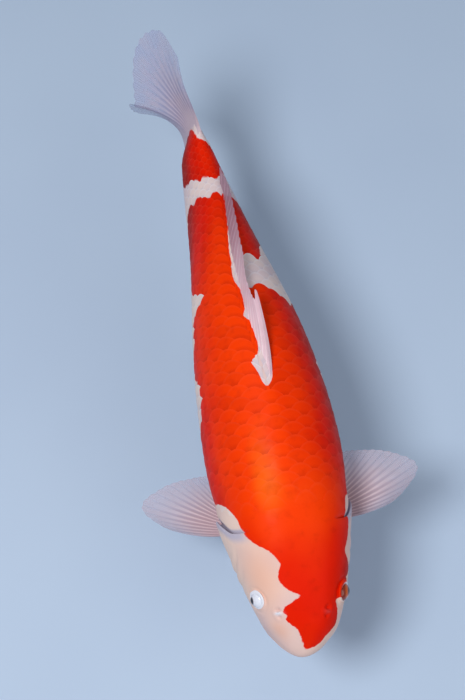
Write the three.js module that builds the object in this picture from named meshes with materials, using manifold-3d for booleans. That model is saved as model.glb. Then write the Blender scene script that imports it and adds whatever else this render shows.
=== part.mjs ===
// Koi carp of the Kohaku variety: a still, life-size display model, held over a flat base by two rods.
// Millimetres, +Z up. The origin is the centre of the base's underside, and the head points along -Y.
//
// The fish is shaped in a straight frame of its own, then bent and rolled into its swimming pose:
//   x = distance behind the snout, y = towards the fish's right, z = above the body's axis.

import * as THREE from "three";
import { mergeVertices } from "three/addons/utils/BufferGeometryUtils.js";
import Module from "manifold-3d";

const wasm = await Module();
wasm.setup();

// ---------------------------------------------------------------- driving dimensions

const LENGTH = 700; // snout to the tips of the tail fin
const FLESH_LENGTH = 575; // snout to the end of the tail stem
const GAP = 0.3; // left between pieces that meet

const AXIS_HEIGHT = 162; // the body's axis above the floor
const BALANCE_X = 268; // the point of the body that stands over the base's centre

// The swimming bend: distance behind the snout, degrees that the body turns there from -Y towards +X,
// and degrees that the back leans towards +X.
const BEND = [
  [0, -6, 2],
  [60, 7, 2],
  [150, 9.8, 2],
  [250, 11, 1],
  [340, 12.7, -3.5],
  [410, 15.2, -2.5],
  [450, 16, 4],
  [500, 15, 14],
  [FLESH_LENGTH, 15, 12],
  [620, 29, 5],
  [LENGTH, 57, 25],
];

// The body's outline: distance behind the snout, top, bottom, half-width, height of the widest level.
const BODY = [
  [0, 13, -16, 24.5, -9],
  [15, 20, -29, 28.7, -9],
  [30, 29, -37, 37, -8],
  [50, 40, -45, 45, -7],
  [75, 50, -53, 53, -6],
  [100, 60, -60, 59.5, -5],
  [125, 68, -66, 64, -4],
  [160, 77, -73, 67.5, -2],
  [200, 84, -80, 70.5, 0],
  [240, 87, -84, 69.5, 1],
  [290, 87, -83, 65.5, 1],
  [340, 81, -78, 58.5, 1],
  [390, 72, -69, 48.5, 1],
  [440, 60, -56, 37.5, 1],
  [490, 47, -43, 27, 0],
  [530, 38, -34, 20.5, 0],
  [560, 35, -31, 15.5, 0],
  [FLESH_LENGTH, 36, -31, 12, 0],
];
const NOSE_RADIUS = 30; // length over which the snout rounds off
const ROUNDNESS = { head: 2.35, trunk: 2.05, from: 60, to: 200 }; // powers of the section's curve
const RING_SIDES = 28; // faces round the body

const TRUNK_END = 503; // where the trunk meets the tail stem
const GILL = { front: 105, rear: 150, flare: 3.5, plate: 6 }; // the cover's edge stands off the shoulder
const EYE = { x: 57.5, y: 38, z: 15, radius: 11 };

// Side-view lines of the head, as [x, z]: the rear of the head with its gill opening, one gill cover,
// and the mouth with the lower jaw under it.
const HEAD_REAR = [
  [116, 100],
  [119, 58],
  [126, 30],
  [138, 14],
  [GILL.rear, -8],
  [147, -30],
  [135, -52],
  [112, -68],
  [86, -90],
];
const GILL_COVER = [
  [200, 36],
  [132, 34],
  [116, 31],
  [103, 20],
  [96, 2],
  [94, -18],
  [97, -36],
  [107, -49],
  [130, -50],
  [200, -50],
];
const LOWER_JAW = [
  [-10, -15],
  [12, -19],
  [31, -27],
  [44, -80],
  [-10, -80],
];

// The fins. A row of rays gives the place in the fan from 0 to 1, then that ray's length and,
// for the folded dorsal fin, its rise over the back and its lean to the left.
const DORSAL = {
  start: 238,
  end: 488,
  sunk: 4,
  rays: [
    [0, 112, 19, 17],
    [0.2, 72, 18, 16],
    [0.5, 46, 14, 14.5],
    [0.8, 34, 11, 9],
    [1, 34, 6, 7],
  ],
};
const CAUDAL = {
  start: FLESH_LENGTH - 10,
  middle: 4,
  halfRoot: 30,
  rise: 33, // degrees that the upper rays spread
  drop: 24, // degrees that the lower rays spread
  cup: 42, // the middle rays bend to the fish's right
  curl: -23, // and the lower lobe to its left
  rays: [
    [0, 84],
    [0.08, 118],
    [0.25, 124],
    [0.5, 86],
    [0.75, 119],
    [0.92, 126],
    [1, 106],
  ],
};
const PECTORAL = {
  front: new THREE.Vector3(142, 45, -42),
  rear: new THREE.Vector3(160, 42, -52),
  fan: 77,
  sweep: 16,
  tipLift: 9,
  left: { lead: -15, lift: 24 }, // degrees back from straight out, and up
  right: { lead: -5, lift: -1 },
  rays: [
    [0, 67],
    [0.12, 83],
    [0.28, 101],
    [0.45, 88],
    [0.7, 66],
    [1, 50],
  ],
};
const PELVIC = {
  front: new THREE.Vector3(286, 33, -62),
  rear: new THREE.Vector3(304, 17, -72),
  frontRay: new THREE.Vector3(0.75, 0.3, -0.55).normalize(),
  rearRay: new THREE.Vector3(0.95, 0.06, -0.28).normalize(),
  rays: [
    [0, 62],
    [0.25, 76],
    [0.55, 66],
    [1, 38],
  ],
};
const ANAL = {
  start: 474,
  end: 500,
  sunk: 5,
  frontDrop: 50,
  rearDrop: 24,
  rays: [
    [0, 54],
    [0.2, 60],
    [0.6, 46],
    [1, 30],
  ],
};

// Barbels: where they leave the skin, as x and degrees round from the back, and their size.
const LIP_BARBEL = { x: 17, angle: 112, length: 13, radius: 1.3 };
const CORNER_BARBEL = { x: 31, angle: 122, length: 27, radius: 1.8 };
const BARBEL_TIP = 0.5;

const BASE = { width: 92, length: 240, height: 12, corner: 30, bevel: 1.5 };
const ROD = { radius: 5, flange: 12, flangeHeight: 3, chamfer: 1, spacing: 66, top: 122 };

// ---------------------------------------------------------------- small helpers

const rad = THREE.MathUtils.degToRad;
const { lerp, smoothstep, clamp } = THREE.MathUtils;

// A smooth curve through the rows of a table: returns f(x) for one column.
function through(rows, column) {
  const slope = (i) => {
    const a = rows[Math.max(i - 1, 0)];
    const b = rows[Math.min(i + 1, rows.length - 1)];
    return (b[column] - a[column]) / (b[0] - a[0]);
  };
  return (x) => {
    const after = rows.findIndex((row) => row[0] > x);
    const i = (after < 0 ? rows.length - 1 : Math.max(after, 1)) - 1;
    const [p, q] = [rows[i], rows[i + 1]];
    const span = q[0] - p[0];
    const t = (x - p[0]) / span;
    return (
      (1 + 2 * t) * (1 - t) ** 2 * p[column] +
      t * (1 - t) ** 2 * span * slope(i) +
      t * t * (3 - 2 * t) * q[column] +
      t * t * (t - 1) * span * slope(i + 1)
    );
  };
}

// Moves each vertex of a closed geometry by a function of its place, and keeps its faces pointing out.
function shaped(geometry, move) {
  for (const name of ["normal", "uv"]) geometry.deleteAttribute(name);
  const merged = mergeVertices(geometry, 1e-4);
  const place = merged.attributes.position;
  const v = new THREE.Vector3();
  for (let i = 0; i < place.count; i++) {
    v.fromBufferAttribute(place, i);
    place.setXYZ(i, ...move(v).toArray());
  }
  const index = merged.index.array;
  const [a, b, c] = [0, 1, 2].map(() => new THREE.Vector3());
  let volume = 0;
  for (let i = 0; i < index.length; i += 3) {
    a.fromBufferAttribute(place, index[i]);
    b.fromBufferAttribute(place, index[i + 1]);
    c.fromBufferAttribute(place, index[i + 2]);
    volume += a.dot(b.cross(c));
  }
  for (let i = 0; volume < 0 && i < index.length; i += 3) {
    [index[i + 1], index[i + 2]] = [index[i + 2], index[i + 1]];
  }
  return merged;
}

function toSolid(geometry) {
  const merged = shaped(geometry, (v) => v);
  return new wasm.Manifold(
    new wasm.Mesh({
      numProp: 3,
      vertProperties: merged.attributes.position.array,
      triVerts: new Uint32Array(merged.index.array),
    }),
  );
}

function toGeometry(solid) {
  const mesh = solid.getMesh();
  return new THREE.BufferGeometry()
    .setAttribute("position", new THREE.BufferAttribute(new Float32Array(mesh.vertProperties), 3))
    .setIndex(new THREE.BufferAttribute(new Uint32Array(mesh.triVerts), 1));
}

// A prism right through the fish, over a side-view outline of [x, z] corners.
function sidePrism(corners) {
  const outline = new THREE.Shape(corners.map(([x, z]) => new THREE.Vector2(x, z)));
  const width = 200;
  const prism = new THREE.ExtrudeGeometry(outline, { depth: width, bevelEnabled: false });
  prism.translate(0, 0, -width / 2);
  prism.rotateX(Math.PI / 2);
  return toSolid(prism);
}

// ---------------------------------------------------------------- pose

const [headingAt, rollAt] = [1, 2].map((column) => {
  const degrees = through(BEND, column);
  return (x) => rad(degrees(clamp(x, 0, LENGTH)));
});

// The body's axis in plan, one point for each millimetre.
const spine = [new THREE.Vector2(0, 0)];
for (let x = 1; x <= LENGTH + 1; x++) {
  const heading = headingAt(x - 0.5);
  spine.push(spine[x - 1].clone().add(new THREE.Vector2(-Math.sin(heading), Math.cos(heading))));
}

function spineAt(x) {
  const i = clamp(Math.floor(x), 0, spine.length - 2);
  return spine[i].clone().lerp(spine[i + 1], x - i);
}

// Carries a point from the straight frame to its place over the base.
function posed({ x, y, z }) {
  const at = spineAt(x).sub(spineAt(BALANCE_X));
  const [heading, roll] = [headingAt(x), rollAt(x)];
  const across = new THREE.Vector3(Math.cos(heading), Math.sin(heading), 0);
  const right = across.clone().multiplyScalar(-Math.cos(roll)).setZ(Math.sin(roll));
  const up = across.clone().multiplyScalar(Math.sin(roll)).setZ(Math.cos(roll));
  return new THREE.Vector3(at.x, at.y, AXIS_HEIGHT).addScaledVector(right, y).addScaledVector(up, z);
}

// ---------------------------------------------------------------- body

const [topAt, bottomAt, widthAt, levelAt] = [1, 2, 3, 4].map((column) => through(BODY, column));

// Where the rings of the body stand: close together on the snout, wider apart behind it.
const rings = [];
for (let x = 0; x < FLESH_LENGTH; x += x < 6 ? 2 : x < GILL.rear ? 7.5 : 15) rings.push(x);
rings.push(FLESH_LENGTH - 1, FLESH_LENGTH);

// A point of the skin, at a distance behind the snout and an angle round from the back to the right.
// The skin can be grown by an even depth, and flared over the gills.
function skinPoint(x, angle, grow, flared) {
  const nose = x < NOSE_RADIUS ? Math.sqrt(1 - (1 - x / NOSE_RADIUS) ** 2) : 1;
  const level = levelAt(x);
  const reach = Math.cos(angle) < 0 ? level - bottomAt(x) : topAt(x) - level;
  const power = 2 / lerp(ROUNDNESS.head, ROUNDNESS.trunk, smoothstep(x, ROUNDNESS.from, ROUNDNESS.to));
  const squared = (value) => Math.sign(value) * Math.abs(value) ** power;
  const flare = flared ? GILL.flare * smoothstep(x, GILL.front, GILL.rear) * Math.abs(Math.sin(angle)) : 0;
  return new THREE.Vector3(
    x,
    (widthAt(x) * nose + grow + flare) * squared(Math.sin(angle)),
    level + (reach * nose + grow) * squared(Math.cos(angle)),
  );
}

// The whole body as one closed loft.
function bodyGeometry(grow = 0, flared = false) {
  const last = rings.length - 1;
  const sphere = new THREE.SphereGeometry(1, RING_SIDES, last);
  return shaped(sphere, (v) => {
    const ring = Math.round((Math.acos(clamp(v.y, -1, 1)) / Math.PI) * last);
    const x = rings[ring];
    if (ring === 0) return new THREE.Vector3(x - grow, 0, levelAt(x));
    if (ring === last) return new THREE.Vector3(x + grow, 0, levelAt(x));
    return skinPoint(x, Math.atan2(v.z, v.x), grow, flared);
  });
}

const bodySolid = (grow, flared) => toSolid(bodyGeometry(grow, flared));

// Everything in front of the gill opening and the nape, moved back by a shift.
function headSpace(shift) {
  const rear = new THREE.SplineCurve(HEAD_REAR.map(([x, z]) => new THREE.Vector2(x + shift, z)));
  const below = HEAD_REAR.at(-1)[1];
  const outline = rear.getPoints(2 * HEAD_REAR.length).map((p) => [p.x, p.y]);
  return sidePrism([[-20, HEAD_REAR[0][1]], ...outline, [-20, below]].reverse());
}

function behind(x) {
  const far = 200;
  return sidePrism([
    [x, -far],
    [LENGTH, -far],
    [LENGTH, far],
    [x, far],
  ]);
}

// The space of both gill covers: outside an inner body that is smaller by the covers' thickness.
function coverSpace(thickness, shift) {
  return sidePrism(GILL_COVER.map(([x, z]) => [x + shift, z])).subtract(bodySolid(-thickness, true));
}

function jawSpace(shift) {
  return sidePrism(LOWER_JAW.map(([x, z]) => [x + shift, z + shift]));
}

function eyeBall(side, grow) {
  const ball = new THREE.SphereGeometry(EYE.radius + grow, 14, 9);
  return toSolid(ball.translate(EYE.x, side * EYE.y, EYE.z));
}

function makeFlesh() {
  const front = bodySolid(0, true).intersect(headSpace(0));
  const covers = front.intersect(coverSpace(GILL.plate, GAP)).decompose();
  const head = front
    .subtract(coverSpace(GILL.plate + GAP, 0))
    .subtract(jawSpace(GAP / 2))
    .subtract(eyeBall(-1, GAP))
    .subtract(eyeBall(1, GAP));
  const rear = bodySolid(0, false).subtract(headSpace(GAP));
  return {
    head,
    lower_jaw: front.intersect(jawSpace(-GAP / 2)),
    gill_cover_left: covers.find((solid) => solid.boundingBox().max[1] < 0),
    gill_cover_right: covers.find((solid) => solid.boundingBox().min[1] > 0),
    trunk: rear.subtract(behind(TRUNK_END)),
    tail_stem: rear.intersect(behind(TRUNK_END + GAP)),
  };
}

// ---------------------------------------------------------------- fins and barbels

// A fin is a thin blade over sheet(u, r): u runs across the fan of rays, r from the root to the margin.
function blade(sheet, across, outward, rootThickness, edgeThickness) {
  const step = 1e-3;
  const box = new THREE.BoxGeometry(1, 1, 1, across, outward, 1);
  return toSolid(
    shaped(box, (v) => {
      const [u, r] = [v.x + 0.5, v.y + 0.5];
      const acrossFan = sheet(u + step, r).sub(sheet(u - step, r));
      const alongRay = sheet(u, r + step).sub(sheet(u, r - step));
      const thickness = lerp(rootThickness, edgeThickness, r);
      return sheet(u, r).addScaledVector(acrossFan.cross(alongRay).normalize(), v.z * thickness);
    }),
  );
}

function dorsalSheet(u, r) {
  const [back, rise, lean] = [1, 2, 3].map((column) => through(DORSAL.rays, column)(u));
  const x = lerp(DORSAL.start, DORSAL.end, u) + back * r;
  return new THREE.Vector3(x, -lean * r, topAt(x) + rise * r - DORSAL.sunk * (1 - r));
}

function caudalSheet(u, r) {
  const spread = 1 - 2 * u; // 1 at the upper edge, -1 at the lower
  const angle = rad(spread > 0 ? CAUDAL.rise : CAUDAL.drop) * spread;
  const reach = through(CAUDAL.rays, 1)(u) * r;
  const flick = CAUDAL.cup * Math.cos((spread * Math.PI) / 2) * r * r;
  return new THREE.Vector3(
    CAUDAL.start + reach * Math.cos(angle),
    flick + CAUDAL.curl * Math.max(-spread, 0) * r ** 3,
    CAUDAL.middle + CAUDAL.halfRoot * spread + reach * Math.sin(angle) * lerp(0.35, 1.1, r),
  );
}

function pectoralSheet(side) {
  const paddle = side < 0 ? PECTORAL.left : PECTORAL.right;
  return (u, r) => {
    const root = PECTORAL.front.clone().lerp(PECTORAL.rear, u);
    const angle = rad(paddle.lead + PECTORAL.fan * u);
    const reach = through(PECTORAL.rays, 1)(u) * r;
    return new THREE.Vector3(
      root.x + reach * Math.sin(angle) + PECTORAL.sweep * (1 - u) * r * r,
      side * (root.y + reach * Math.cos(angle)),
      root.z + reach * Math.sin(rad(paddle.lift)) + PECTORAL.tipLift * r * r,
    );
  };
}

function pelvicSheet(side) {
  return (u, r) => {
    const ray = PELVIC.frontRay.clone().lerp(PELVIC.rearRay, u);
    const p = PELVIC.front.clone().lerp(PELVIC.rear, u);
    p.addScaledVector(ray, through(PELVIC.rays, 1)(u) * r);
    return p.setY(side * p.y);
  };
}

function analSheet(u, r) {
  const reach = through(ANAL.rays, 1)(u) * r;
  const angle = rad(lerp(ANAL.frontDrop, ANAL.rearDrop, u));
  const x = lerp(ANAL.start, ANAL.end, u);
  return new THREE.Vector3(x + reach * Math.cos(angle), 0, bottomAt(x) + ANAL.sunk - reach * Math.sin(angle));
}

// A barbel: a tapered feeler that leaves the skin, then curves down and back.
function barbel(side, { x, angle, length, radius }) {
  const start = skinPoint(x, rad(angle), -radius, false);
  const tube = new THREE.CylinderGeometry(1, 1, 1, 6, 7);
  return toSolid(
    shaped(tube, (v) => {
      const t = 0.5 - v.y;
      const thick = lerp(radius, BARBEL_TIP, t);
      return new THREE.Vector3(
        start.x + length * (0.05 * t + 0.75 * t * t) + v.x * thick,
        side * (start.y + length * (0.55 * t - 0.3 * t * t) + v.z * thick),
        start.z - length * (0.75 * t - 0.25 * t * t) + 0.6 * v.x * thick,
      );
    }),
  );
}

// ---------------------------------------------------------------- stand

function standBase() {
  const { width, length, height, corner, bevel } = BASE;
  const [x, y] = [width / 2 - bevel - corner, length / 2 - bevel - corner];
  const plate = new THREE.Shape();
  plate.absarc(x, y, corner, 0, Math.PI / 2);
  plate.absarc(-x, y, corner, Math.PI / 2, Math.PI);
  plate.absarc(-x, -y, corner, Math.PI, 1.5 * Math.PI);
  plate.absarc(x, -y, corner, 1.5 * Math.PI, 2 * Math.PI);
  return new THREE.ExtrudeGeometry(plate, {
    depth: height - 2 * bevel,
    bevelThickness: bevel,
    bevelSize: bevel,
    bevelSegments: 1,
    curveSegments: 5,
  }).translate(0, 0, bevel);
}

// A rod with a foot flange, under the axis of the body at one end of the base, cut to fit the belly.
function standRod(end) {
  const foot = BASE.height + GAP;
  const profile = [
    [0, foot],
    [ROD.flange, foot],
    [ROD.flange, foot + ROD.flangeHeight - ROD.chamfer],
    [ROD.flange - ROD.chamfer, foot + ROD.flangeHeight],
    [ROD.radius, foot + ROD.flangeHeight],
    [ROD.radius, ROD.top],
    [0, ROD.top],
  ].map(([radius, z]) => new THREE.Vector2(radius, z));
  const at = posed({ x: BALANCE_X + end * ROD.spacing, y: 0, z: 0 });
  const lathe = new THREE.LatheGeometry(profile, 20).rotateX(Math.PI / 2).translate(at.x, at.y, 0);
  const grownBody = toSolid(shaped(bodyGeometry(GAP, false), posed));
  return toGeometry(toSolid(lathe).subtract(grownBody));
}

// ---------------------------------------------------------------- assembly

const finishes = {
  scarlet: { color: 0xd8330c, roughness: 0.32, metalness: 0 },
  white: { color: 0xeadfd8, roughness: 0.34, metalness: 0 },
  fin: { color: 0xe6dcdc, roughness: 0.4, metalness: 0 },
  eye: { color: 0x1a1616, roughness: 0.1, metalness: 0 },
  base: { color: 0x3a3c3f, roughness: 0.5, metalness: 0 },
  rod: { color: 0xb9bcc0, roughness: 0.28, metalness: 1 },
};

const root = new THREE.Group();

function add(name, geometry, finish) {
  const mesh = new THREE.Mesh(geometry, new THREE.MeshStandardMaterial(finishes[finish]));
  mesh.name = name;
  root.add(mesh);
}

const addPosed = (name, solid, finish) => add(name, shaped(toGeometry(solid), posed), finish);

const flesh = makeFlesh();
addPosed("head", flesh.head, "scarlet");
addPosed("lower_jaw", flesh.lower_jaw, "white");
addPosed("gill_cover_left", flesh.gill_cover_left, "scarlet");
addPosed("gill_cover_right", flesh.gill_cover_right, "white");
addPosed("trunk", flesh.trunk, "scarlet");
addPosed("tail_stem", flesh.tail_stem, "scarlet");

const grownFlesh = bodySolid(GAP, false).add(bodySolid(GAP, true).intersect(headSpace(GAP)));
const addFin = (name, solid) => addPosed(name, solid.subtract(grownFlesh), "fin");
addFin("dorsal_fin", blade(dorsalSheet, 20, 3, 6, 1));
addFin("caudal_fin", blade(caudalSheet, 18, 7, 4, 0.8));
addFin("anal_fin", blade(analSheet, 8, 4, 4, 0.9));
for (const [side, word] of [
  [-1, "left"],
  [1, "right"],
]) {
  addFin(`pectoral_fin_${word}`, blade(pectoralSheet(side), 12, 6, 5, 0.8));
  addFin(`pelvic_fin_${word}`, blade(pelvicSheet(side), 8, 4, 4, 0.8));
  addPosed(`eye_${word}`, eyeBall(side, 0), "eye");
  addPosed(`barbel_lip_${word}`, barbel(side, LIP_BARBEL).subtract(grownFlesh), "white");
  addPosed(`barbel_corner_${word}`, barbel(side, CORNER_BARBEL).subtract(grownFlesh), "white");
}

add("stand_base", standBase(), "base");
add("stand_rod_front", standRod(-1), "rod");
add("stand_rod_rear", standRod(1), "rod");

export default root;
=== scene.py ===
import math

import bmesh
import bpy
import numpy as np
from mathutils import Matrix, Vector


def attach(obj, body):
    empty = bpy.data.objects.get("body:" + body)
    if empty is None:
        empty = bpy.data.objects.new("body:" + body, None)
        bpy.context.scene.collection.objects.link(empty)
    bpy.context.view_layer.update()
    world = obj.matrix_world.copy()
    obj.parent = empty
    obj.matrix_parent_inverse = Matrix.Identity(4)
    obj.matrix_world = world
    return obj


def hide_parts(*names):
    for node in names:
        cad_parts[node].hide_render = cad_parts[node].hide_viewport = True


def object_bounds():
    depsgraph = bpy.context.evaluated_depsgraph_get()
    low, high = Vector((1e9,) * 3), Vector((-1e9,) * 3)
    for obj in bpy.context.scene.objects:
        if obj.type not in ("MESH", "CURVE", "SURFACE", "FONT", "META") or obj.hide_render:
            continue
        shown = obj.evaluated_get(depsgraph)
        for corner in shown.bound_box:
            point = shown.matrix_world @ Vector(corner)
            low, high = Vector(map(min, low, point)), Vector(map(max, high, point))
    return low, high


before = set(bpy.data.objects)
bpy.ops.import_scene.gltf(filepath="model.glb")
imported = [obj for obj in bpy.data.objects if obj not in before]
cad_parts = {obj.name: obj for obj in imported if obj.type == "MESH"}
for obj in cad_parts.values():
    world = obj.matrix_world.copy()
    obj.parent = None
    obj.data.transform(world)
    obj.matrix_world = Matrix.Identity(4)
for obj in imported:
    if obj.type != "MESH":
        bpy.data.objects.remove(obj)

cadLow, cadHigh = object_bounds()  # the solids' box

# A Kohaku koi on a display stand. The fish is shaped in a straight frame, in millimetres, and then bent
# into its swimming pose: x = behind the snout, y = towards the fish's right, z = above its axis.
mm = 0.001
body = {
    "length": 700,
    "flesh": 575,  # from the snout to the tail fin's root
    "axisHeight": 162,
    "balanceX": 268,  # stands over the base's centre
    "noseLength": 30,
    "headPower": 2.35,  # 2 is an ellipse and more is squarer
    "trunkPower": 2.05,
    "powerBlend": (60, 200),
    # distance behind the snout, degrees that the fish heads and that its back leans to +X
    "bend": [
        [0, -6, 2], [60, 7, 2], [150, 9.8, 2], [250, 11, 1], [340, 12.7, -3.5], [410, 15.2, -2.5],
        [450, 16, 4], [500, 15, 14], [575, 15, 12], [620, 29, 5], [700, 57, 25],
    ],
    # distance behind the snout, top, bottom, half-width, height of the widest level
    "outline": [
        [0, 13, -16, 24.5, -9], [15, 20, -29, 28.7, -9], [30, 29, -37, 37, -8], [50, 40, -45, 45, -7],
        [75, 50, -53, 53, -6], [100, 60, -60, 59.5, -5], [125, 68, -66, 64, -4], [160, 77, -73, 67.5, -2],
        [200, 84, -80, 70.5, 0], [240, 87, -84, 69.5, 1], [290, 87, -83, 65.5, 1],
        [340, 81, -78, 58.5, 1], [390, 72, -69, 48.5, 1], [440, 60, -56, 37.5, 1], [490, 47, -43, 27, 0],
        [530, 38, -34, 20.5, 0], [560, 35, -31, 15.5, 0], [575, 36, -31, 12, 0],
    ],
    # height above the axis, distance behind the snout of the gill opening and the nape over it
    "gillEdge": [
        [-90, 86], [-68, 112], [-52, 135], [-30, 147], [-8, 150], [14, 138], [30, 126], [58, 119],
        [100, 116],
    ],
    "meanGillEdge": 130,
    "gillFlare": 3.5,
    "flareSpan": (105, 150),
    "keel": 2.0,
    "keelWidth": 12,
    "keelRise": (118, 175),
    "keelFall": (470, 520),
}


def smooth(value, low, high):
    t = np.clip((value - low) / (high - low), 0, 1)
    return t * t * (3 - 2 * t)


def hump(distance, width):  # a soft ridge across a line
    return np.exp(-((distance / width) ** 2))


def mix(a, b, t):
    return a + (b - a) * t


# A smooth curve through the rows of a table, as a function of its first column.
def through(rows, column=1):
    xs = np.array([row[0] for row in rows], float)
    ys = np.array([row[column] for row in rows], float)
    before = np.maximum(np.arange(len(xs)) - 1, 0)
    after = np.minimum(np.arange(len(xs)) + 1, len(xs) - 1)
    slopes = (ys[after] - ys[before]) / (xs[after] - xs[before])

    def curve(x):
        x = np.asarray(x, float)
        i = np.clip(np.searchsorted(xs, x, side="right") - 1, 0, len(xs) - 2)
        span = xs[i + 1] - xs[i]
        t = (x - xs[i]) / span
        return (
            (1 + 2 * t) * (1 - t) ** 2 * ys[i]
            + t * (1 - t) ** 2 * span * slopes[i]
            + t * t * (3 - 2 * t) * ys[i + 1]
            + t * t * (t - 1) * span * slopes[i + 1]
        )

    return curve


topAt, bottomAt, widthAt, levelAt = [through(body["outline"], column) for column in (1, 2, 3, 4)]
gillEdgeAtHeight = through(body["gillEdge"])


def bendAt(x, column=1):
    return np.radians(through(body["bend"], column)(np.clip(x, 0, body["length"])))


spineX = np.arange(0, body["length"] + 31.0)  # the axis in plan, a point for each millimetre
spineHeadings = bendAt(spineX[:-1] + 0.5)
spineSteps = np.stack([-np.sin(spineHeadings), np.cos(spineHeadings)], 1)
spinePlan = np.concatenate([[[0, 0]], np.cumsum(spineSteps, 0)])
balance = [np.interp(body["balanceX"], spineX, spinePlan[:, k]) for k in (0, 1)]


# Carries points from the straight frame to their place over the base, in metres.
def posed(x, y, z):
    heading, roll = bendAt(x), bendAt(x, 2)
    atX, atY = [np.interp(x, spineX, spinePlan[:, k]) - balance[k] for k in (0, 1)]
    side = z * np.sin(roll) - y * np.cos(roll)
    height = body["axisHeight"] + y * np.sin(roll) + z * np.cos(roll)
    return mm * np.stack([atX + side * np.cos(heading), atY + side * np.sin(heading), height], -1)


# The low ridge along the middle of the back, as extra height.
def keel(x, angle):
    along = smooth(x, *body["keelRise"]) * (1 - smooth(x, *body["keelFall"]))
    return body["keel"] * along * hump(np.degrees(angle), body["keelWidth"])


def signedPower(value, power):
    return np.sign(value) * np.abs(value) ** power


def sectionPower(x):
    return mix(body["headPower"], body["trunkPower"], smooth(x, *body["powerBlend"]))


# A point of the body's surface, by distance behind the snout and angle round from the back to the fish's
# right, grown by an even depth and flared over the gills.
def skinPoint(x, angle, grow=0.0, flared=0.0):
    nose = np.sqrt(1 - np.clip(1 - x / body["noseLength"], 0, 1) ** 2)
    level = levelAt(x)
    reach = np.where(np.cos(angle) < 0, level - bottomAt(x), topAt(x) - level)
    power = 2 / sectionPower(x)
    flare = flared * body["gillFlare"] * smooth(x, *body["flareSpan"]) * np.abs(np.sin(angle))
    y = (widthAt(x) * nose + grow + flare) * signedPower(np.sin(angle), power)
    z = level + (reach * nose + grow) * signedPower(np.cos(angle), power)
    return y, z


# Where the gill opening or the nape crosses the surface, at each angle, found step by step.
def gillEdgeAt(angle):
    x = np.full(np.shape(angle), float(body["meanGillEdge"]))
    for _ in range(14):
        x = mix(x, gillEdgeAtHeight(skinPoint(x, angle, 0, 1)[1]), 0.6)
    return x


# Place in the body's section, as shares of its half-width and height with the corners evened out: the
# surface is where their squares add up to 1.
def inSection(x, y, z):
    power = sectionPower(x) / 2
    level = levelAt(x)
    reach = np.where(z < level, level - bottomAt(x), topAt(x) - level)
    return signedPower(y / widthAt(x), power), signedPower((z - level) / reach, power)


def evenDegrees(degrees):  # from -180 to 180
    return (degrees + 180) % 360 - 180


def meshOf(name, bm):
    mesh = bpy.data.meshes.new(name)
    bm.to_mesh(mesh)
    bm.free()
    return mesh


def added(name, data):
    obj = bpy.data.objects.new(name, data)
    bpy.context.scene.collection.objects.link(obj)
    return obj


def piece(name, bm, material, smoothShade=True):
    mesh = meshOf(name, bm)
    mesh.materials.append(material)
    if smoothShade:
        mesh.shade_smooth()
        mesh.set_sharp_from_angle(angle=math.radians(38))
    obj = added(name, mesh)
    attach(obj, "root")
    return obj


def places(bm):
    return np.array([v.co for v in bm.verts])


def spinRound(bm, geom, steps):  # a full turn about the upright axis
    bmesh.ops.spin(
        bm, geom=geom, cent=(0, 0, 0), axis=(0, 0, 1), angle=2 * math.pi, steps=steps,
        use_merge=True, use_duplicate=False,
    )
    bmesh.ops.remove_doubles(bm, verts=bm.verts[:], dist=1e-5)


def faceOutwards(bm):
    bmesh.ops.recalc_face_normals(bm, faces=bm.faces[:])


def place(bm, points):
    for vertex, point in zip(bm.verts, points.tolist()):
        vertex.co = point
    faceOutwards(bm)


def paint(obj, **values):
    for name, value in values.items():
        layer = obj.data.attributes.new(name, "FLOAT", "POINT")
        layer.data.foreach_set("value", np.asarray(value, np.float32))


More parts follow.
